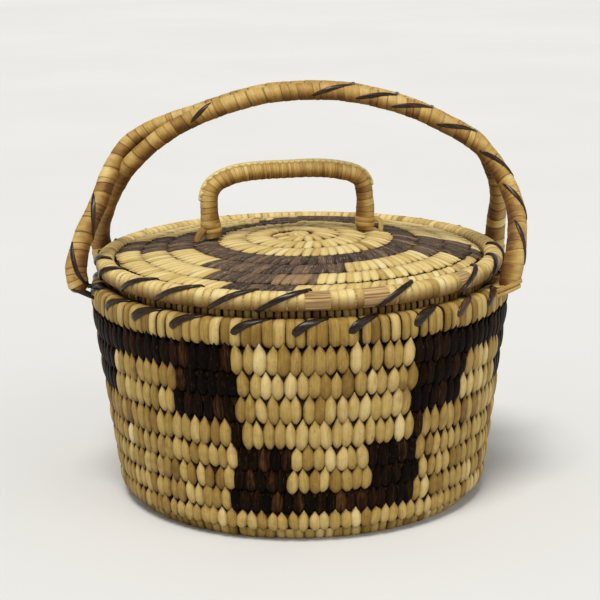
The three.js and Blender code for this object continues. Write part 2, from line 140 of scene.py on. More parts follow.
LIT = ([0, 0.12, 0.3, 0.8, 1], [0.25, 0.75, 1, 1, 0.85])
LIT_ABOVE = ([0, 0.3, 0.38, 0.44, 0.52, 0.9, 1], [0.05, 0.1, 0.3, 0.6, 1, 1, 0.8])
SIDES = np.array([-1, -0.86, -0.5, 0, 0.5, 0.86, 1])

# Texture map: a cell's width to its height, and its margin. Floor: the lowest that a point of the basket may
# be, and how far the floor reaches each way, in metres.
CELL_ASPECT, CELL_MARGIN = 2.4, 0.06
LOWEST, FLOOR_REACH = 0.02 * MM, 12

# Colours along a splint's tone, from its darkest to its palest.
STRAW = [(0.0, (0.38, 0.25, 0.07)), (0.3, (0.63, 0.455, 0.155)), (0.55, (0.79, 0.615, 0.25)),
         (0.85, (0.84, 0.70, 0.34)), (1.0, (0.87, 0.78, 0.47))]
WALL_STRAW = [(0.0, (0.14, 0.068, 0.011)), (0.3, (0.31, 0.185, 0.036)), (0.55, (0.49, 0.335, 0.095)),
              (0.85, (0.72, 0.545, 0.225)), (1.0, (0.80, 0.66, 0.35))]
GOLD = [(0.0, (0.12, 0.045, 0.009)), (0.3, (0.31, 0.165, 0.033)), (0.55, (0.50, 0.315, 0.085)),
        (0.85, (0.72, 0.53, 0.20)), (1.0, (0.82, 0.66, 0.34))]
DARK = [(0.0, (0.0022, 0.0014, 0.0009)), (0.45, (0.0046, 0.0026, 0.0014)), (0.75, (0.026, 0.0105, 0.004)),
        (1.0, (0.10, 0.04, 0.014))]
BROWN = [(0.0, (0.006, 0.003, 0.0015)), (0.45, (0.015, 0.007, 0.003)), (0.75, (0.045, 0.020, 0.009)),
         (1.0, (0.12, 0.055, 0.025))]
# The lid's dark splint is greyer and lighter than the wall's: dust on it and painted sheen.
DUST_AND_SHEEN = [(0.0, (0.035, 0.027, 0.024)), (0.45, (0.085, 0.062, 0.050)), (0.75, (0.17, 0.115, 0.08)),
         (1.0, (0.34, 0.22, 0.12))]

# Camera, in millimetres and degrees, with its focal length in pixels of a 600 pixel wide picture.
CAMERA_PLACE, CAMERA_PITCH, CAMERA_ROLL = (0, -591, 207), 13.5, -0.94
FOCAL_PIXELS, PICTURE_PIXELS, SENSOR_WIDTH = 1748, 600, 36


def level_course(turned):
    """Course number after some turns: level, with a climb before the seam."""
    whole = np.floor(turned)
    return whole + np.maximum(0, (turned - whole - 1 + CLIMB) / CLIMB)


def steady_course(turned):
    return turned


def wall_place(course):
    """Where a course of the wall lies: its radius, height, tilt and height as a share of the pitch."""
    numbers = np.arange(len(ROW_BOUNDS)) - 0.5
    upright = np.maximum(course, 1)
    above = np.interp(upright + 0.5, numbers, ROW_BOUNDS)
    below = np.interp(upright - 0.5, numbers, ROW_BOUNDS)
    middle = (above + below) / 2
    bend = np.clip(course, 0, 1)
    drop = np.minimum(course, 0) * COURSE_PITCH * sqrt(0.5)
    wall_radius = FIRST_RADIUS + (middle - FIRST_HEIGHT) * tan(WALL_FLARE)
    radius = CORNER_RADIUS + CORNER_FULLNESS * np.clip(course + 1, 0, 1)
    radius = radius + (wall_radius - radius) * bend + drop
    height = CORNER_HEIGHT + (middle - CORNER_HEIGHT) * bend + drop
    tilt = CORNER_TILT + (radians(90) - WALL_FLARE - CORNER_TILT) * bend
    stretch = 1 + ((above - below) / COURSE_PITCH - 1) * bend
    return radius, height, tilt, stretch


def base_place(course):
    """Where a course of the base's flat spiral lies."""
    radius = KNOT_RADIUS + (course + 0.5) * BASE_PITCH
    return radius, np.full_like(course, BASE_THICKNESS / 2), np.zeros_like(course), np.ones_like(course)


def lid_top(radius):
    return LID_EDGE_TOP + LID_RISE * (1 - (np.maximum(radius, 0) / LID_SPIRAL_EDGE) ** LID_DOME_POWER)


def lid_place(course):
    """Where a course of the lid's domed spiral lies."""
    radius = KNOT_RADIUS + (course + 0.5) * LID_PITCH
    slope = lid_top(radius + 0.5) - lid_top(radius - 0.5)
    return radius, lid_top(radius) - LID_THICKNESS / 2, np.arctan(slope), np.ones_like(course)


def ring_place(radius, height):
    """Where the one course of a level ring lies."""
    def place(course):
        return tuple(np.full_like(course, value) for value in (radius, height, pi / 2, 1.0))
    return place


def sums(steps):
    return np.concatenate([[0], np.cumsum(steps)])


def step_lengths(points):
    return np.linalg.norm(np.diff(points, axis=0), axis=1)


def cord_parts(place, course, turns, turned, least):
    """Where a cord lies after some turns, without the ends that are thinner than the least share."""
    low = np.maximum(course(turned) - 0.5, -0.5)
    high = np.minimum(course(turned) + 0.5, turns - 0.5)
    keep = high - low > least
    turned, low, high = turned[keep], low[keep], high[keep]
    radius, height, tilt, stretch = place((low + high) / 2)
    return SimpleNamespace(turned=turned, course=(low + high) / 2, share=high - low, radius=radius,
                           height=height, tilt=tilt, stretch=stretch)


def lay(place, course, turns, lead, start=SEAM, pitch=None, per_turn=None):
    """Stitch places along a cord, in even steps of its length or of its turning, with a little play."""
    cord = cord_parts(place, course, turns, np.linspace(-lead, turns, LAY_SAMPLES), least=0.15)
    cord.angle = start + cord.turned * TURN
    cord.share = cord.share * cord.stretch
    if per_turn:
        run = (cord.turned - cord.turned[0]) * per_turn
    else:
        flat = (cord.radius[1:] + cord.radius[:-1]) / 2 * np.diff(cord.angle)
        steps = np.sqrt(flat ** 2 + np.diff(cord.radius) ** 2 + np.diff(cord.height) ** 2)
        run = sums(steps) / pitch
    count = int(run[-1])
    at = np.arange(count) + 0.5 + rng.uniform(-STITCH_PLAY, STITCH_PLAY, count)
    places = {name: np.interp(at, run, values) for name, values in vars(cord).items()}
    return SimpleNamespace(count=count, **places)


def ring(radius, height, count):
    """Places evenly round a level ring, with a little play."""
    angle = SEAM + (np.arange(count) + rng.uniform(-WRAP_PLAY, WRAP_PLAY, count)) * TURN / count
    radius, height, tilt, share = ring_place(radius, height)(angle)
    return SimpleNamespace(count=count, angle=angle, share=share, radius=radius, height=height, tilt=tilt)


def some(laid, keep):
    """The places for which keep is true."""
    part = SimpleNamespace(**{name: values[keep] for name, values in vars(laid).items() if name != "count"})
    part.count = int(keep.sum())
    return part


def on_course(cord, along, out):
    """Distance from the axis and height of points along a course and out from it."""
    shape = (-1,) + (1,) * (along.ndim - 1)
    radius, height, tilt = (values.reshape(shape) for values in (cord.radius, cord.height, cord.tilt))
    cosine, sine = np.cos(tilt), np.sin(tilt)
    return radius + along * cosine + out * sine, height + along * sine - out * cosine


def round_axis(reach, angle, height):
    """Points at a distance from the basket's axis, an angle round it and a height."""
    return np.stack(np.broadcast_arrays(reach * np.cos(angle), reach * np.sin(angle), height), axis=-1)


def front_angle(laid):
    """Degrees from the front, from -80 up to 280."""
    return (np.degrees(laid.angle) + 90 + 80) % 360 - 80


class Batch:
    """Grids of points that become one mesh. Each point has a tone, a shade and a grain coordinate, and each
    stitch has its own cell of the texture map."""

    def __init__(self):
        self.points, self.tone, self.shade, self.grain = [], [], [], []
        self.quads, self.quad_maps, self.quad_cells = [], [], []
        self.caps, self.cap_cells = [], []
        self.count, self.cells = 0, 0

    def grid(self, points, tone, shade, grain, closed=False, flip=False, rows_per_cell=None):
        """Adds pieces of rows and columns. A closed one joins its last column to its first."""
        pieces, rows, columns = points.shape[:3]
        shape = (pieces, rows, columns)
        index = self.count + np.arange(np.prod(shape)).reshape(shape)
        self.count += index.size
        self.points.append(points.reshape(-1, 3))
        self.tone.append(np.broadcast_to(tone, shape).reshape(-1))
        self.shade.append(np.broadcast_to(shade, shape).reshape(-1))
        self.grain.append(np.stack([np.broadcast_to(part, shape) for part in grain], axis=-1).reshape(-1, 3))
        spans = columns if closed else columns - 1
        beside = np.roll(index, -1, axis=2)
        quads = np.stack([index[:, :-1, :spans], beside[:, :-1, :spans], beside[:, 1:, :spans],
                          index[:, 1:, :spans]], axis=-1)
        per_cell = rows_per_cell or rows - 1
        row = np.arange(rows - 1)
        map_u = (np.arange(spans)[:, None] + np.array([0, 1, 1, 0])) / spans
        map_v = ((row % per_cell)[:, None, None] + np.array([0, 0, 1, 1])) / per_cell
        full = (pieces, rows - 1, spans, 4)
        maps = np.stack([np.broadcast_to(map_u, full), np.broadcast_to(map_v, full)], axis=-1)
        cells_each = ceil((rows - 1) / per_cell)
        cells = self.cells + np.arange(pieces)[:, None, None] * cells_each + (row // per_cell)[None, :, None]
        self.quad_cells.append(np.broadcast_to(cells, full[:3]).reshape(-1))
        if flip:
            quads, maps = quads[..., ::-1], maps[..., ::-1, :]
        self.quads.append(quads.reshape(-1, 4))
        self.quad_maps.append(maps.reshape(-1, 4, 2))
        self.cap(index, closed, flip, cells_each)
        self.cells += pieces * cells_each

    def cap(self, index, closed, flip, cells_each):
        """Closes a strip's underside, or both ends of a tube."""
        if closed:
            loops = [index[:, 0, ::-1], index[:, -1, :]]
        else:
            loops = [np.concatenate([index[:, :-1, 0], index[:, -1, :-1], index[:, :0:-1, -1],
                                     index[:, 0, :0:-1]], axis=1)]
        for loop in loops:
            if flip:
                loop = loop[:, ::-1]
            self.caps.extend(loop.tolist())
            self.cap_cells.extend((self.cells + np.arange(len(loop)) * cells_each).tolist())

    def mesh(self, name):
        quads = np.concatenate(self.quads)
        points = np.concatenate(self.points) * MM
        points[:, 2] = np.maximum(points[:, 2], LOWEST)
        data = bpy.data.meshes.new(name)
        data.from_pydata(points.tolist(), [], quads.tolist() + self.caps)
        for label, kind, key, values in (
                ("tone", "FLOAT", "value", self.tone), ("shade", "FLOAT", "value", self.shade),
                ("grain", "FLOAT_VECTOR", "vector", self.grain)):
            layer = data.attributes.new(label, kind, "POINT")
            layer.data.foreach_set(key, np.concatenate(values).astype(np.float32).reshape(-1))
        self.write_map(data)
        data.polygons.foreach_set("use_smooth", np.arange(len(data.polygons)) < len(quads))
        data.update()
        return data

    def write_map(self, data):
        """Lays the cells out in a square of rows, and the caps in a corner of their cells."""
        across = ceil(sqrt(self.cells * CELL_ASPECT))
        down = ceil(self.cells / across)

        def spot(cell):
            return np.stack([cell % across, cell // across], axis=-1)

        inside = CELL_MARGIN + (1 - 2 * CELL_MARGIN) * np.concatenate(self.quad_maps)
        maps = [(spot(np.concatenate(self.quad_cells))[:, None] + inside).reshape(-1, 2)]
        for loop, number in zip(self.caps, self.cap_cells):
            turn = np.arange(len(loop)) / len(loop) * TURN
            tiny = CELL_MARGIN / 2 + CELL_MARGIN / 4 * np.stack([np.cos(turn), np.sin(turn)], axis=-1)
            maps.append(spot(number) + tiny)
        maps = np.concatenate(maps) / np.array([across, down])
        data.uv_layers.new(name="OFBake").data.foreach_set("uv", maps.astype(np.float32).reshape(-1))


def put(name, data):
    """Adds an object to the scene."""
    thing = bpy.data.objects.new(name, data)
    bpy.context.scene.collection.objects.link(thing)
    return thing


def add_piece(name, batch, material, body, slot, *nodes):
    """Makes a piece from a batch, on its body, standing for the named solids."""
    piece = put(name, batch.mesh(name))
    piece.data.materials.append(material)
    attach(piece, body)
    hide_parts(*nodes)


def slope_of(surface, q):
    """Outward direction of a section's surface at q, as parts along and out."""
    step = 1e-3
    along_low, out_low = surface(q - step)
    along_high, out_high = surface(q + step)
    rise, run = along_high - along_low, out_high - out_low
    size = np.hypot(rise, run)
    return -run / size, rise / size


def course_surface(half_length, peak, groove):
    """A row of cords side by side: q runs from -1 to 1 across one of them, and on over its neighbours."""
    def surface(q):
        local = (q + 1) % 2 - 1
        return q * half_length, peak - groove * np.abs(local) ** 2.2
    return surface


def signed_power(values, power):
    return np.sign(values) * np.abs(values) ** power


def round_surface(half_length, half_width, power=2.3):
    """A rounded cord by itself: q is the angle round its section, zero outwards and a quarter turn up."""
    def surface(q):
        along, out = signed_power(np.sin(q), 2 / power), signed_power(np.cos(q), 2 / power)
        return half_length * along, half_width * out
    return surface


def stitches(batch, laid, surface, start, end, *, rows, width, peak, lean, outline=PICKET, tip=-0.1,
             taper=0.35, face=1, tone=None, edge_shade=0.75, fullness=4.0, sides=SIDES, lit=LIT):
    """A closed, curved pad for each place, from q = start to q = end, wide as its outline says. It stands out
    from the surface by peak in its middle and its edges sink into the cord."""
    def each(values):
        return np.broadcast_to(np.asarray(values, dtype=float), (laid.count,))[:, None, None]

    sink = 0.35
    share = np.linspace(0, 1, rows + 1)[None, :, None]
    side = sides[None, None, :]
    first, last = each(start), each(end)
    q = first + (last - first) * share
    along, out = surface(q)
    up_along, up_out = slope_of(surface, q)
    half = each(width) / 2 * np.interp(share, *outline)
    ramp = np.interp(share, [0, 0.1, 0.6, 1], [0, 1, 0.9, taper])
    high = -sink + (sink + each(peak)) * ramp
    high = np.where(share >= 1, tip, high)
    offset = -sink + (high + sink) * (1 - np.abs(side) ** fullness)
    scale = laid.share[:, None, None]
    along = along * scale + offset * up_along
    out = (out + offset * up_out) * np.minimum(1, scale + 0.15)
    sideways = each(lean) * (share - 0.5) + side * half
    reach, height = on_course(laid, along, face * out)
    angle = laid.angle[:, None, None] + sideways / np.maximum(reach, 1.2)
    tone = rng.normal(0.5, 0.17, laid.count) if tone is None else tone
    shade = (1 - edge_shade * np.abs(side) ** 3) * np.interp(share, *lit)
    length = np.abs(last - first) * 4
    grain = (share * length, side * half, each(rng.uniform(0, 90, laid.count)))
    batch.grid(round_axis(reach, angle, height), each(tone), shade, grain, flip=face < 0)


def foundation(place, course, turns, lead, surface, *, steps, start=SEAM, sides=10):
    """The cord under the stitches, as one closed tube with its ends drawn out."""
    turned = np.linspace(-lead, turns, int((turns + lead) * steps) + 1)
    cord = cord_parts(place, course, turns, turned, least=0.12)
    share = cord.share[:, None]
    along, out = surface(np.arange(sides)[None, :] / sides * TURN)
    reach, level = on_course(cord, along * share * cord.stretch[:, None], out * np.minimum(1, share + 0.08))
    points = round_axis(reach, (start + cord.turned * TURN)[:, None], level)[None]
    grain = ((cord.turned * TURN * cord.radius)[:, None], np.arange(sides) * 1.5, 0)
    batch = Batch()
    batch.grid(points, 0.5, 1.0, grain, closed=True, flip=True, rows_per_cell=8)
    return batch


# Materials.
class Graph:
    """A material's nodes, made and joined by short calls."""

    def __init__(self, name):
        self.material = bpy.data.materials.new(name)
        self.material.use_nodes = True
        self.tree = self.material.node_tree
        self.shader = self.tree.nodes["Principled BSDF"]

    def add(self, kind, settings=None, **inputs):
        node = self.tree.nodes.new(kind)
        for key, value in (settings or {}).items():
            setattr(node, key, value)
        self.fill(node, inputs)
        return node

    def fill(self, node, inputs):
        for key, value in inputs.items():
            self.set(node.inputs[key.replace("_", " ")], value)

    def surface(self, **inputs):
        self.fill(self.shader, inputs)

    def set(self, socket, value):
        if isinstance(value, bpy.types.NodeSocket):
            self.tree.links.new(value, socket)
        else:
            socket.default_value = (*value, 1) if socket.type == "RGBA" else value

    def attribute(self, name, output):
        return self.add("ShaderNodeAttribute", {"attribute_name": name}).outputs[output]

    def noise(self, vector, scale, detail=3.0, roughness=0.55):
        node = self.add("ShaderNodeTexNoise", Vector=vector, Scale=scale, Detail=detail, Roughness=roughness)
        return node.outputs["Fac"]

    def math(self, operation, *values):
        node = self.add("ShaderNodeMath", {"operation": operation})
        for socket, value in zip(node.inputs, values):
            self.set(socket, value)
        return node.outputs[0]

    def streaks(self, along, across, detail, roughness=0.55):
        """Noise that follows the grain, with a scale along it and one across it."""
        vector = self.attribute("grain", "Vector")
        drawn = self.add("ShaderNodeMapping", Vector=vector, Scale=(along, across, 1)).outputs[0]
        return self.noise(drawn, 1.0, detail, roughness)

    def between(self, value, low, high, to_low=0.0, to_high=1.0):
        node = self.add("ShaderNodeMapRange", {"interpolation_type": "SMOOTHSTEP"}, Value=value, From_Min=low,
                        From_Max=high, To_Min=to_low, To_Max=to_high)
        return node.outputs[0]

    def ramp(self, value, stops):
        node = self.add("ShaderNodeValToRGB", Fac=value)
        elements = node.color_ramp.elements
        while len(elements) < len(stops):
            elements.new(0.5)
        for element, (position, colour) in zip(elements, stops):
            element.position = position
            element.color = (*colour, 1)
        return node.outputs[0]

    def mix(self, factor, first, second, blend="MIX"):
        node = self.add("ShaderNodeMix", {"data_type": "RGBA", "blend_type": blend})
        for number, value in ((0, factor), (6, first), (7, second)):
            self.set(node.inputs[number], value)
        return node.outputs[2]

    def bump(self, height, strength, distance):
        node = self.add("ShaderNodeBump", Strength=strength, Distance=distance, Height=height)
        self.surface(Normal=node.outputs[0])


def splint(name, stops, *, streak=0.5, stained=0.35, rough=(0.5, 0.75), relief=0.35,
           shade_colour=(0.22, 0.12, 0.04), gloss=0.3, fleck=None, flecked=None):
    """A strip of split plant stem: its tone from the stitch, fine streaks along it, stains over several
    stitches, small dark specks or pale worn flecks, and painted shade, a darker tint of its colour, down its
    edges."""
    stain = (0.3, 0.16, 0.06)
    graph = Graph(name)
    fine = graph.streaks(0.16, 2.1, 4.0, 0.6)
    broad = graph.streaks(0.3, 0.5, 2.0)
    place = graph.add("ShaderNodeTexCoord").outputs["Object"]
    patches = graph.noise(place, 70.0, 4.0, 0.6)
    drift = graph.math("MULTIPLY", graph.math("SUBTRACT", fine, 0.5), streak)
    drift = graph.math("ADD", drift, graph.math("MULTIPLY", graph.math("SUBTRACT", broad, 0.5), 0.4))
    colour = graph.ramp(graph.math("ADD", graph.attribute("tone", "Fac"), drift), stops)
    amount = graph.math("MULTIPLY", graph.between(patches, 0.56, 0.74), stained)
    if not fleck:
        specks = graph.between(graph.streaks(0.9, 1.5, 2.0), 0.62, 0.72, 0.0, 0.4)
        amount = graph.math("MAXIMUM", amount, specks)
    colour = graph.mix(amount, colour, graph.mix(1.0, colour, stain, "MULTIPLY"))
    if fleck:
        worn = graph.between(graph.streaks(0.5, 2.6, 3.0, 0.7), flecked, flecked + 0.08, 0.0, 0.8)
        colour = graph.mix(worn, colour, fleck)
    # Painted shade: where the shade attribute is low, at edges and in hollows, the colour is tinted towards
    # the shade colour.
    tint = graph.mix(graph.attribute("shade", "Fac"), shade_colour, (1.0, 1.0, 1.0))
    graph.surface(Base_Color=graph.mix(1.0, colour, tint, "MULTIPLY"), Specular_IOR_Level=gloss,
                  Roughness=graph.between(fine, 0.3, 0.7, *rough))
    graph.bump(fine, relief, 0.0003)
    return graph.material


def grass(name, dark, light):
    """The bundle of grass inside a cord, seen only between stitches and where they are worn away."""
    graph = Graph(name)
    blades = graph.streaks(0.05, 1.6, 3.0)
    graph.surface(Base_Color=graph.ramp(blades, [(0.35, dark), (0.65, light)]), Specular_IOR_Level=0.08,
                  Roughness=graph.between(blades, 0.3, 0.7, 0.65, 0.9))
    graph.bump(blades, 0.5, 0.0005)
    return graph.material


straw = splint("straw_splint", STRAW, gloss=0.2)
wall_straw = splint("wall_straw_splint", WALL_STRAW, gloss=0.2, shade_colour=(0.13, 0.055, 0.012), stained=0.5)
gold = splint("gold_splint", GOLD, stained=0.6, shade_colour=(0.16, 0.07, 0.02))
dark = splint("dark_splint", DARK, streak=1.3, rough=(0.4, 0.6), fleck=(0.14, 0.058, 0.018), flecked=0.63,
              gloss=0.03, shade_colour=(0.1, 0.06, 0.04))
# The lid's dark splint: dust and painted sheen make it greyish, with little real gloss.
dust_and_sheen = splint("dust_and_sheen_dark_splint", DUST_AND_SHEEN, streak=1.3, rough=(0.6, 0.85), fleck=(0.50, 0.34, 0.16),
               flecked=0.57, gloss=0.08)
strip = splint("dark_strip", BROWN, streak=0.6, rough=(0.22, 0.36), relief=0.2, stained=0.0, gloss=0.32,
               fleck=(0.16, 0.08, 0.04), flecked=0.6)
# The bundles seen between stitches are coloured very dark: painted shade of the deep gaps. The worn bundle
# has the grass's own colour.
shade_dark_grass = grass("grass_bundle", (0.006, 0.003, 0.0012), (0.035, 0.015, 0.004))
shade_dark_lid_grass = grass("lid_grass_bundle", (0.02, 0.009, 0.003), (0.10, 0.05, 0.014))
worn_grass = grass("worn_grass_bundle", (0.20, 0.09, 0.035), (0.62, 0.44, 0.20))


# Wall.
def wall_is_dark(laid):
    """True where the wall's pattern has a dark stitch."""
    front = front_angle(laid)
    row = np.round(laid.course)
    dark_here = np.zeros(laid.count, dtype=bool)

    def within(low, high):
        return (front >= low) & (front < high)

    for spans, bar, leg_rows, leg in ((BRACKETS, 8, (6, 7), BRACKET_LEG), (CUPS, 2, (3, 4), CUP_LEG)):
        for low, high in spans:
            legs = within(low, low + leg) | within(high - leg, high)
            dark_here |= (row == bar) & within(low, high) | np.isin(row, leg_rows) & legs
    for low, high in CUPS:
        dark_here |= (row == 5) & (within(low - 0.4, low + LINK) | within(high - LINK, high + 0.4))
    return dark_here


def make_wall():
    surface = course_surface(COURSE_PITCH / 2, 2.6, 0.5)
    laid = lay(wall_place, level_course, COURSES + 1, CLIMB, per_turn=WALL_STITCHES_PER_TURN)
    marked = wall_is_dark(laid)
    for name, keep, material, slot in (("wall_stitches", ~marked, wall_straw, "golden_splint"),
                                       ("wall_pattern_stitches", marked, dark, "dark_strip")):
        batch = Batch()
        chosen = some(laid, keep)
        spacing = TURN * chosen.radius / WALL_STITCHES_PER_TURN
        relief = 0.6 if keep is marked else 1.0
        width = spacing * rng.uniform(1.12, 1.46, chosen.count)
        row = np.round(chosen.course)
        stitches(batch, chosen, surface, rng.uniform(-1.22, -1.02, chosen.count) - 0.45 * (row == 0),
                 rng.uniform(1.14, 1.48, chosen.count) + 0.35 * (row == COURSES), rows=12, width=width,
                 peak=relief * rng.uniform(0.28, 0.55, chosen.count) + 0.9 * (row == 0), fullness=4.5,
                 taper=0.5, lean=rng.normal(0.15, 0.45, chosen.count),
                 tone=rng.normal(0.5, 0.16, chosen.count))
        stitches(batch, chosen, surface, -1.05, 1.1, rows=4, width=width, outline=STRIP, peak=0.35, face=-1,
                 lean=rng.normal(1.2, 0.3, chosen.count), sides=SIDES[::2])
        add_piece(name, batch, material, "basket", slot, "wall_coil")
    core = foundation(wall_place, level_course, COURSES + 1, CLIMB, round_surface(3.95, 2.3, 3.4), steps=64,
                      sides=12)
    add_piece("wall_foundation", core, shade_dark_grass, "basket", "golden_splint", "wall_coil")


def make_base():
    surface = course_surface(BASE_PITCH / 2, 2.55, 0.8)
    laid = lay(base_place, steady_course, BASE_TURNS, 1, pitch=3.3)
    batch = Batch()
    width = rng.uniform(3.7, 4.4, laid.count)
    for face in (1, -1):
        stitches(batch, laid, surface, -1.1, rng.uniform(1.05, 1.2, laid.count), rows=8, width=width,
                 outline=TOOTH, peak=0.4, lean=rng.normal(1.8, 0.35, laid.count) * face, face=face, taper=0.6)
    add_piece("base_stitches", batch, wall_straw, "basket", "golden_splint", "base_coil")
    core = foundation(base_place, steady_course, BASE_TURNS, 1, round_surface(4.1, 2.3, 3.4), steps=40)
    add_piece("base_foundation", core, shade_dark_grass, "basket", "golden_splint", "base_coil")


def make_knot(name, bottom, top, body, node):
    """The wrapped start of a spiral: a low drum with lobes that swirl round it."""
    rows, sides = 16, 40
    level = np.linspace(-1, 1, rows + 1)[:, None]
    turn = np.arange(sides)[None, :] / sides * TURN
    swell = (1 - np.abs(level) ** 3.2) ** (1 / 3.2)
    lobes = np.abs(np.cos(3.5 * (turn + 1.4 * level)))
    reach = (KNOT_RADIUS - 0.2) * np.maximum(swell, 0.02) * (1 + 0.05 * lobes)
    height = (top + bottom) / 2 + (top - bottom) / 2 * signed_power(level, 0.6)
    batch = Batch()
    # Painted shade darkens the hollows between the lobes.
    batch.grid(round_axis(reach, turn, height)[None], 0.5, 0.45 + 0.55 * lobes, (level * 4, turn * 2, 3.0),
               closed=True, rows_per_cell=8)
    add_piece(name, batch, straw, body, "golden_splint" if body == "basket" else "pale_splint", node)


# Rim, lid edge and flange: rounded cords wrapped all round.
def wrapped_ring(label, radius, height, half_length, half_width, count, *, start, end, width, material,
                 body, slot, node, peak, tone=0.5, spread=0.15, lean=0.3, rows=16, keep=None, core=None,
                 outline=WRAP, play=0.05, power=2.3, **looks):
    """A cord with wraps all round it, from the angle start round its section to the angle end."""
    surface = round_surface(half_length, half_width, power)
    laid = ring(radius, height, count)
    if keep is not None:
        laid = some(laid, keep(front_angle(laid)))
    wide = TURN * radius / count * rng.uniform(*width, laid.count)
    batch = Batch()
    stitches(batch, laid, surface, radians(start) + rng.uniform(-play, play, laid.count),
             radians(end), rows=rows, width=wide, outline=outline, fullness=6.0,
             peak=rng.uniform(0.8, 1.15, laid.count) * peak, tone=rng.normal(tone, spread, laid.count),
             lean=rng.normal(0, lean, laid.count), taper=0.8, **looks)
    add_piece(f"{label}_stitches", batch, material, body, slot, node)
    centre = foundation(ring_place(radius, height), lambda turned: 0 * turned, 1, 0,
                        round_surface(half_length - 0.1, half_width - 0.1, power), steps=180, sides=14)
    add_piece(f"{label}_foundation", centre, core or shade_dark_grass, body, slot, node)


def lacing(name, radius, height, half_length, half_width, fronts, *, start, end, lean, shift, width, body,
           node, outline=BLADE, power=2.3):
    """Dark strip sewn over a rounded cord: each pass comes out of it, lies over it and goes in again.
    A pass goes from start to end round the section, and its shift is its way along the cord, times lean."""
    surface = round_surface(half_length, half_width, power)
    share = np.linspace(0, 1, 29)
    lift = np.interp(share, [0, 0.07, 0.9, 1], [-0.5, 0.42, 0.42, -0.4])
    batch = Batch()
    for front, last in zip(fronts, np.broadcast_to(end, len(fronts))):
        q = np.radians(start + (last - start) * share)
        along, out = surface(q)
        up_along, up_out = slope_of(surface, q)
        angle = radians(front - 90) + lean * rng.uniform(0.9, 1.1) * np.interp(share, *shift) / radius
        reach = radius + out + lift * up_out
        path = round_axis(reach, angle, height + along + lift * up_along)
        ribbon(batch, path, round_axis(up_out, angle, up_along), width * rng.uniform(0.85, 1.15), 0.9,
               tone=rng.normal(0.5, 0.15), outline=outline, bend=0.2)
    add_piece(f"{name}_strip", batch, strip, body, "dark_strip", node)


def all_round(fronts):
    """Front angles with the rest of the laces added, evenly behind."""
    gap = (360 + fronts[0] - fronts[-1]) / (LACES_BEHIND + 1)
    return np.concatenate([fronts, fronts[-1] + np.arange(1, LACES_BEHIND + 1) * gap])


def make_rim():
    wrapped_ring("rim", RIM_RADIUS, RIM_HEIGHT, *RIM_SECTION, 132, start=-96, end=235, width=(0.98, 1.34),
                 material=wall_straw, body="basket", slot="pale_splint", node="rim_coil", peak=0.28, rows=24,
                 outline=TUSK, play=0.1, lean=0.6, power=3.0)
    lacing("rim_lacing", RIM_RADIUS, RIM_HEIGHT, *RIM_SECTION, all_round(RIM_LACES) + 2.2, start=-4,
           end=150, lean=12, shift=([0, 0.3, 0.6, 1], [-0.4, -0.05, 0.45, 0.7]), width=2.9, body="basket",
           node="rim_lacing", power=3.0)


def make_lid_edge():
    def covered(front):
        return ~np.any([np.abs(front - centre) < half for centre, half in WORN_EDGE], axis=0)

    wrapped_ring("lid_rim", LID_EDGE_RADIUS, LID_EDGE_HEIGHT, 3.1, 3.25, 160, start=-118, end=172,
                 width=(0.98, 1.3), material=straw, body="lid", slot="pale_splint", node="lid_rim_coil",
                 peak=0.1, tone=0.45, spread=0.14, keep=covered, core=worn_grass, edge_shade=0.5,
                 lit=LIT_ABOVE)
    fronts = all_round(LID_LACES)
    at_back = np.cos(np.radians(fronts)) < -0.1
    lacing("lid_lacing", LID_EDGE_RADIUS, LID_EDGE_HEIGHT, 3.15, 3.3, fronts, start=-62,
           end=np.where(at_back, 48, 128), lean=16,
           shift=([0, 0.25, 0.75, 1], [-0.45, -0.25, 0.45, 0.6]), width=1.9, body="lid", node="lid_lacing",
           outline=LENS)
    # The flange's tone is set a little low: painted shade of the gap under the lid's edge.
    wrapped_ring("lid_flange", FLANGE_RADIUS, FLANGE_HEIGHT, 2.4, 2.85, 170, start=-150, end=120,
                 width=(0.8, 1.05), material=gold, body="lid", slot="golden_splint",
                 node="lid_flange_coil", peak=0.22, tone=0.42)


# Lid.
def lid_is_dark(laid):
    """True where the lid's pattern has a dark stitch."""
    row = np.floor(laid.turned - LID_RING_START)
    front = front_angle(laid)
    dark_here = row == 0
    for centre, widths in PETALS:
        away = np.abs((front - centre + 180) % 360 - 180)
        for number, width in enumerate(widths, start=1):
            dark_here |= (row == number) & (away < width / 2)
    return dark_here


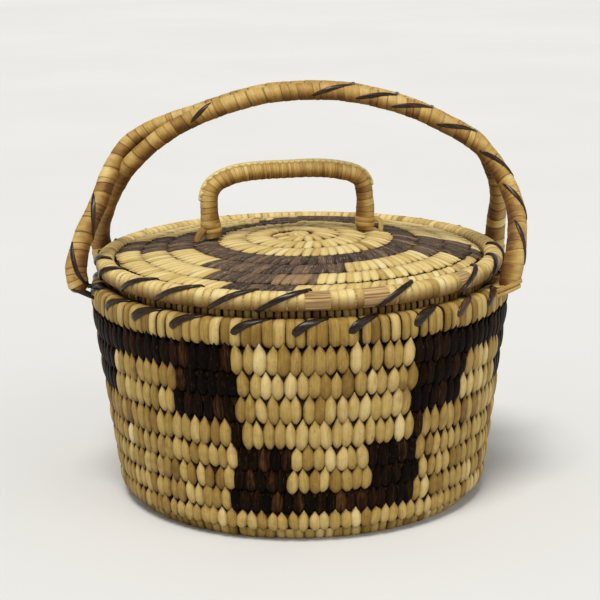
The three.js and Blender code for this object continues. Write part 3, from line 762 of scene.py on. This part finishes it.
def make_lid():
    surface = course_surface(LID_PITCH / 2, 2.15, 0.35)
    laid = lay(lid_place, steady_course, LID_TURNS, 1, start=LID_SPIRAL_START, pitch=2.75)
    marked = lid_is_dark(laid)
    for name, keep, material, slot in (("lid_stitches", ~marked, straw, "pale_splint"),
                                       ("lid_pattern_stitches", marked, dust_and_sheen, "dark_strip")):
        batch = Batch()
        chosen = some(laid, keep)
        width = rng.uniform(3.4, 4.0, chosen.count)
        front = front_angle(chosen)
        worn = np.floor(chosen.turned - LID_RING_START) == WORN_ROW
        worn &= (front > WORN_FROM) & (front < WORN_TO)
        tone = rng.normal(0.5, 0.16, chosen.count) + (0.55 * worn if keep is marked else 0)
        stitches(batch, chosen, surface, -0.98, rng.uniform(1.1, 1.36, chosen.count), rows=9, width=width,
                 outline=TOOTH, peak=rng.uniform(0.14, 0.28, chosen.count), face=-1, tip=0.05, taper=0.65,
                 lean=-rng.normal(3.0, 0.5, chosen.count), fullness=8.0, tone=tone)
        stitches(batch, chosen, surface, -1.05, 1.1, rows=4, width=width, outline=STRIP,
                 peak=0.3, lean=rng.normal(1.6, 0.4, chosen.count), sides=SIDES[::2])
        add_piece(name, batch, material, "lid", slot, "lid_coil")
    core = foundation(lid_place, steady_course, LID_TURNS, 1, round_surface(4.5, 2.0, 3.4), steps=44,
                      start=LID_SPIRAL_START)
    add_piece("lid_foundation", core, shade_dark_lid_grass, "lid", "pale_splint", "lid_coil")


# Handles: rods wound with splint.
def vectors_at(place, places, vectors):
    """Vectors between the given ones, which stand at the given places."""
    return np.stack([np.interp(place, places, values) for values in np.transpose(vectors)], axis=-1)


def smooth_route(points, spacing):
    """A smooth curve through points, in even steps of its length, with centripetal knots."""
    points = np.array(points, dtype=float)
    points = np.vstack([2 * points[0] - points[1], points, 2 * points[-1] - points[-2]])
    dense = []
    for first in range(len(points) - 3):
        near = points[first:first + 4]
        knots = sums(step_lengths(near) ** 0.5)
        at = np.linspace(knots[1], knots[2], 40, endpoint=False)[:, None]
        level = list(near)
        for reach, shift in ((1, 0), (2, 0), (2, 1)):
            level = [((knots[i + reach + shift] - at) * level[i] + (at - knots[i + shift]) * level[i + 1])
                     / (knots[i + reach + shift] - knots[i + shift]) for i in range(len(level) - 1)]
        dense.append(level[0])
    dense = np.vstack(dense + [points[-2][None]])
    run = sums(step_lengths(dense))
    even = np.linspace(0, run[-1], int(run[-1] / spacing) + 1)
    return vectors_at(even, run, dense), even


def unit(vectors):
    return vectors / np.linalg.norm(vectors, axis=1, keepdims=True)


class Rod:
    """A route with a direction to the front and one to the outside at each place on it. Its radius varies
    along its length with its swell."""

    def __init__(self, points, front, spacing, radius, swell):
        self.radius, self.swell = radius, swell
        self.centre, self.run = smooth_route(points, spacing)
        tangent = unit(np.gradient(self.centre, axis=0))
        self.ahead = unit(front - (tangent @ front)[:, None] * tangent)
        self.outer = np.cross(tangent, self.ahead)
        self.length = self.run[-1]

    def at(self, run, turn, radius):
        """Points on the rod's surface, turned from its front towards its outside."""
        centre, ahead, outer = (vectors_at(run, self.run, vectors)
                                for vectors in (self.centre, self.ahead, self.outer))
        cosine, sine = np.cos(turn)[..., None], np.sin(turn)[..., None]
        return centre + radius[..., None] * (cosine * ahead + sine * outer)

    def radius_at(self, run):
        return self.radius * np.interp(run / self.length, *self.swell)


def wind(rod, bands, *, tone, spread, sides=20, depth=0.14, lap=0.1, slant=0.5, vary=(0.45, 1.8),
         marked=0.6):
    """A rod under bands of splint, each with its own width, slant and tone. Bands gives their mean width at
    shares of the length. Their edges are in shadow, deep on the marked share of them and faint on the rest,
    and painted shade darkens their tone towards the underside."""
    under = 0.48
    edges = [0.0]
    while edges[-1] < rod.length:
        edges.append(edges[-1] + np.interp(edges[-1] / rod.length, *bands) * rng.uniform(*vary))
    edges = np.array(edges) * rod.length / edges[-1]
    count = len(edges) - 1
    slants = np.interp(edges / rod.length, *bands) / np.max(bands[1]) * rng.normal(slant, 0.15, count + 1)
    slants[[0, -1]] = 0
    across = np.array([0, 0.05, 0.12, 0.35, 0.65, 0.88, 0.96])
    part = np.append(np.tile(across, count), 1.0)[:, None]
    number = np.append(np.repeat(np.arange(count), len(across)), count - 1)
    phase = number[:, None] + part
    turn = (np.arange(sides)[None, :] + 0.5) / sides * TURN
    run = np.interp(phase, np.arange(count + 1), edges)
    run = np.clip(run + np.interp(phase, np.arange(count + 1), slants) * np.sin(turn), 0, rod.length)
    rounding = np.interp(part, [0, 0.05, 0.12, 0.88, 0.96, 1], [0, 0.75, 1, 1, 0.85, 0.4])
    line = np.interp(part, [0, 0.05, 0.12, 0.88, 1], [0.15, 0.7, 1, 1, 0.6])
    line = 1 - rng.choice([1, 0.4], count, p=[marked, 1 - marked])[number][:, None] * (1 - line)
    reach = rod.radius_at(run) - depth + depth * rounding + lap * (part - 0.5)
    reach += 0.06 * np.sin(phase * 2.1)
    # Painted shade: the tone is lowered on the rod's underside.
    tones_and_underside_shade = rng.normal(tone, spread, count)[number][:, None] - under * np.clip(0.35 - np.sin(turn), 0, 1)
    around = rod.radius * np.abs((turn + 0.8) % TURN - pi)
    grain = (around, np.diff(edges)[number][:, None] * part, number[:, None] * 3.7)
    batch = Batch()
    batch.grid(rod.at(run, turn, reach)[None], tones_and_underside_shade, line, grain, closed=True, rows_per_cell=len(across))
    return batch


def ribbon(batch, path, outward, width, thick, *, tone, outline=STRIP, bend=0.0):
    """A flattened strip along a path, with its broad side outward and its edges bent in."""
    sides = 12
    ahead = unit(np.gradient(path, axis=0))
    beside = unit(np.cross(ahead, outward))
    outward = np.cross(beside, ahead)
    share = np.linspace(0, 1, len(path))[:, None]
    section = np.arange(sides)[None, :] / sides * TURN
    size = np.interp(share, *outline)
    across = width / 2 * size * signed_power(np.cos(section), 0.7)
    above = thick / 2 * (0.4 + 0.6 * size) * signed_power(np.sin(section), 0.7)
    above = above - bend * across ** 2 / 2
    points = path[:, None] + beside[:, None] * across[..., None] + outward[:, None] * above[..., None]
    shade = 1 - 0.4 * np.abs(np.cos(section)) ** 4
    grain = (share * step_lengths(path).sum(), across, rng.uniform(0, 90))
    batch.grid(points[None], tone, shade, grain, closed=True, rows_per_cell=12, flip=True)


def rod_strip(batch, rod, keys, width, thick, *, tone, outline=STRIP, steps=30):
    """A strip laid over a rod. Keys give its places: share of its length, run along the rod, degrees round
    it, and how much of the way it has crossed to the strand behind."""
    share = np.linspace(0, 1, steps + 1)
    at, run, turn, crossed = np.array(keys, dtype=float).T
    run, turn, crossed = (np.interp(share, at, values) for values in (run, turn, crossed))
    turn = np.radians(turn)
    surface = rod.at(run, turn, rod.radius_at(run))
    outward = surface - rod.at(run, turn, np.zeros_like(run))
    path = surface + crossed[:, None] * np.array([0, 2 * STRAND_OFFSET, 0])
    ribbon(batch, path, outward, width, thick, tone=tone, outline=outline, bend=0.75 / rod.radius)


def strand_rod(right_leg, shares, left_leg):
    """A strand of the carrying handle, from its right foot over to its left one."""
    def foot(name):
        angle = radians(LEG_ANGLES[name])
        reach = FOOT_REACH - (RIGHT_FRONT_IN if name == "right_front" else 0)
        return reach * cos(angle), reach * sin(angle), FOOT_HEIGHT - FOOT_DROP

    middle = [(across * LEG_REACH, back * LEG_REACH, FOOT_HEIGHT + (ARCH_HEIGHT - FOOT_HEIGHT) * up)
              for across, back, up in shares]
    return Rod([foot(right_leg), *middle, foot(left_leg)], (0, -1, 0), 0.5, STRAND_RADIUS, STRAND_SWELL)


def leg_lashing(name, rod, material, slot, passes, tone, snug=0.0):
    """Strips that bind a leg to the rim: each comes out of the rim, rises round the leg and goes back in.
    Three more go from the leg's inner side over the rim."""
    angle = radians(LEG_ANGLES[name])
    radial = np.array([cos(angle), sin(angle), 0])
    sideways = np.array([-sin(angle), cos(angle), 0])
    from_foot = rod.centre if name.startswith("right") else rod.centre[::-1]
    inner, outer = RIM_OUTSIDE - 2.6 - LEG_REACH, STRAND_RADIUS + 0.45 - snug
    aside = outer - 0.1
    batch = Batch()
    for from_rim, up_leg in passes:
        corners, faces = [], []
        for away, side in ((inner, -0.8), (-1.6, -0.97), (0.6, -0.93), (2.6, -0.62), (outer, 0), (2.6, 0.62),
                           (0.6, 0.93), (-1.6, 0.97), (inner, 0.8)):
            rise = (away - inner) / (outer - inner)
            height = RIM_HEIGHT + from_rim + (FOOT_HEIGHT + up_leg - RIM_HEIGHT - from_rim) * rise
            spot = min(np.searchsorted(from_foot[:40, 2], max(height, FOOT_HEIGHT)), 39)
            flat = from_foot[spot] * [1, 1, 0]
            corners.append(flat + radial * away + sideways * side * aside + UP * height)
            faces.append(radial * max(away, 0) + sideways * side * aside)
        path, run = smooth_route(corners, 0.4)
        outward = vectors_at(run / run[-1], np.linspace(0, 1, len(faces)), faces)
        ribbon(batch, path, outward, rng.uniform(1.2, 1.5), 0.75, tone=rng.normal(tone, 0.08))
    for side in (-1.6, 0.3, 1.9):
        corners = [radial * (LEG_REACH - inward) + sideways * side * spread + UP * height
                   for inward, height, spread in OVER_RIM]
        path, _ = smooth_route(corners, 0.4)
        ribbon(batch, path, UP, rng.uniform(1.3, 1.7), 0.8, tone=rng.normal(tone, 0.08))
    add_piece(f"handle_lashing_{name}_strips", batch, material, "basket", slot, f"handle_lashing_{name}")


def make_carrying_handle():
    front = strand_rod("right_front", FRONT_STRAND, "left_back")
    back = strand_rod("right_back", BACK_STRAND, "left_front")
    for name, rod in (("front", front), ("back", back)):
        batch = wind(rod, ([0, 1], [3.4, 3.4]), tone=0.54, spread=0.1)
        add_piece(f"handle_{name}_strand_wrapped", batch, gold, "basket", "golden_splint",
                  f"handle_{name}_strand")
    right = Batch()
    for run in RIGHT_MARKS:
        keys = [(0, run + 6.8, -24, 0), (0.62, run - 6.2, 80, 0)]
        if run > BOTH_STRANDS_FROM:
            keys += [(0.72, run - 7, 92, 1), (1, run - 8.6, 235, 1)]
        else:
            keys += [(1, run - 8.6, 235, 0)]
        rod_strip(right, front, keys, 1.7, 0.7, tone=rng.normal(0.62, 0.12), outline=FLOAT)
    keys = [(0, TOP_MARK + 5.2, -14, 0), (1, TOP_MARK - 3.4, 66, 0)]
    rod_strip(right, front, keys, 1.6, 0.7, tone=0.6, outline=LENS)
    add_piece("handle_lacing_right_strip", right, strip, "basket", "dark_strip", "handle_lacing_right")
    left = Batch()
    for run in LEFT_MARKS:
        keys = [(0, run - 6.6, 66, 0), (0.7, run + 6.6, -46, 0), (1, run + 8.8, -110, 0)]
        rod_strip(left, back, keys, 1.7, 0.7, tone=rng.normal(0.6, 0.1), outline=FLOAT)
    keys = [(0, 190.5, 60, 0), (1, 203, 15, 0)]
    rod_strip(left, front, keys, 1.2, 0.7, tone=0.5, outline=LENS)
    add_piece("handle_lacing_left_strip", left, strip, "basket", "dark_strip", "handle_lacing_left")
    passes = [(-0.2, 1.5), (1.7, 3.2)]
    leg_lashing("left_front", back, strip, "dark_strip", passes[:1], 0.4, snug=0.9)
    for name, rod in (("right_front", front), ("right_back", back), ("left_back", front)):
        leg_lashing(name, rod, gold, "golden_splint", passes, 0.6 if name == "right_front" else 0.5)


def make_lid_handle():
    half = LID_HANDLE_SPAN / 2
    ahead = np.array([cos(LID_HANDLE_YAW), sin(LID_HANDLE_YAW), 0])
    middle = np.array([LID_HANDLE_X, LID_HANDLE_Y, LID_HANDLE_FOOT - 0.6])
    points = [middle + ahead * across * half + UP * (up * (LID_HANDLE_HEIGHT + 0.6))
              for across, up in LID_ARCH]
    front = (sin(LID_HANDLE_YAW), -cos(LID_HANDLE_YAW), 0)
    rod = Rod(points, front, 0.4, LID_BAR_RADIUS, LID_BAR_SWELL)
    bands = ([0, 0.24, 0.34, 0.66, 0.76, 1], [2.1, 1.9, 0.9, 0.9, 1.9, 2.1])
    bar = wind(rod, bands, sides=18, depth=0.12, lap=0.08, slant=0.3, vary=(0.7, 1.35),
               marked=0.35, tone=0.6, spread=0.08)
    add_piece("lid_handle_wrapped", bar, gold, "lid", "pale_splint", "lid_handle")
    seam = Batch()
    for run in np.arange(SEAM_FROM * rod.length, SEAM_TO * rod.length, SEAM_STEP):
        for side in (-1, 1):
            keys = [(0, run, 90 + side * 24, 0), (1, run + 2.5, 90 - side * 14, 0)]
            rod_strip(seam, rod, keys, 1.5, 1.5, tone=rng.normal(0.62, 0.08), steps=8)
    add_piece("lid_handle_braid", seam, straw, "lid", "pale_splint", "lid_handle_seam")
    # Each foot's binding ends in a strap: a stub at the right, and at the left a tongue that lies on the lid.
    right_strap = [(25.6, 8.0, 91.8), (27.2, 7.9, 92.0), (28.3, 7.8, 91.0), (28.6, 7.7, lid_top(29.6) + 0.2)]
    left_strap = [(-31.0, -3.2, 92.4), (-32.9, -4.2, 91.2), (-34.2, -5.0, 89.4),
                  (-35.3, -5.6, lid_top(35.7) + 0.35)]
    for name, start, strap, outward, width, thick, tone in (
            ("right", 2.2, right_strap, (0.3, -1, 0.3), 1.9, 1.2, 0.7),
            ("left", rod.length - 4.2, left_strap, (-0.5, -1, 0.4), 2.8, 0.7, 0.22)):
        turns = Batch()
        for run in (start, start + 1.6):
            keys = [(0, run - 0.4, 150, 0), (1, run + 0.5, -200, 0)]
            rod_strip(turns, rod, keys, 1.7, 0.6, tone=rng.normal(0.5, 0.06))
        ribbon(turns, smooth_route(strap, 0.3)[0], outward, width, thick, tone=tone)
        add_piece(f"lid_handle_foot_{name}", turns, gold, "lid", "pale_splint", f"lid_handle_lashing_{name}")


def make_camera():
    data = bpy.data.cameras.new("camera")
    data.sensor_width = SENSOR_WIDTH
    data.lens = FOCAL_PIXELS / PICTURE_PIXELS * SENSOR_WIDTH
    data.clip_start, data.clip_end = 0.01, 50
    camera = put("camera", data)
    camera.matrix_world = (Matrix.Translation(Vector(CAMERA_PLACE) * MM)
                           @ Matrix.Rotation(radians(90 - CAMERA_PITCH), 4, "X")
                           @ Matrix.Rotation(radians(CAMERA_ROLL), 4, "Z"))
    bpy.context.scene.camera = camera


def make_floor():
    data = bpy.data.meshes.new("floor")
    corners = [(across * FLOOR_REACH, back * FLOOR_REACH, 0)
               for across, back in ((-1, -1), (1, -1), (1, 1), (-1, 1))]
    data.from_pydata(corners, [], [(0, 1, 2, 3)])
    graph = Graph("floor")
    place = graph.add("ShaderNodeTexCoord").outputs["Object"]
    tint = graph.between(graph.noise(place, 3.0), 0.3, 0.7)
    graph.surface(Base_Color=graph.mix(tint, (0.74, 0.74, 0.73), (0.77, 0.77, 0.76)), Roughness=0.9,
                  Specular_IOR_Level=0.1)
    data.materials.append(graph.material)
    floor = put("floor", data)


def sun(name, azimuth, elevation, strength, spread, colour=(1, 1, 1)):
    """A soft light from far away, from an azimuth counted from the front and an elevation, in degrees."""
    data = bpy.data.lights.new(name, "SUN")
    data.energy = strength
    data.angle = radians(spread)
    data.color = colour
    turned, raised = radians(azimuth - 90), radians(elevation)
    source = Vector(round_axis(cos(raised), turned, sin(raised)))
    light = put(name, data)
    light.rotation_euler = (-source).to_track_quat("-Z", "Y").to_euler()
    light.location = source


def make_light():
    world = bpy.data.worlds.new("studio")
    bpy.context.scene.world = world
    world.use_nodes = True
    background = world.node_tree.nodes["Background"]
    background.inputs["Color"].default_value = (1.0, 0.995, 0.98, 1)
    background.inputs["Strength"].default_value = 0.42
    sun("key", -15, 66, 2.25, 22, (1.0, 0.98, 0.94))
    sun("fill", 50, 30, 0.4, 40)


make_camera()
make_floor()
make_light()
make_wall()
make_base()
make_knot("base_knot", 0, BASE_THICKNESS, "basket", "base_start")
make_rim()
make_lid()
make_knot("lid_knot", float(lid_top(0)) - LID_THICKNESS, float(lid_top(0)), "lid", "lid_start")
make_lid_edge()
make_carrying_handle()
make_lid_handle()

view = bpy.context.scene.view_settings
view.view_transform = "Standard"
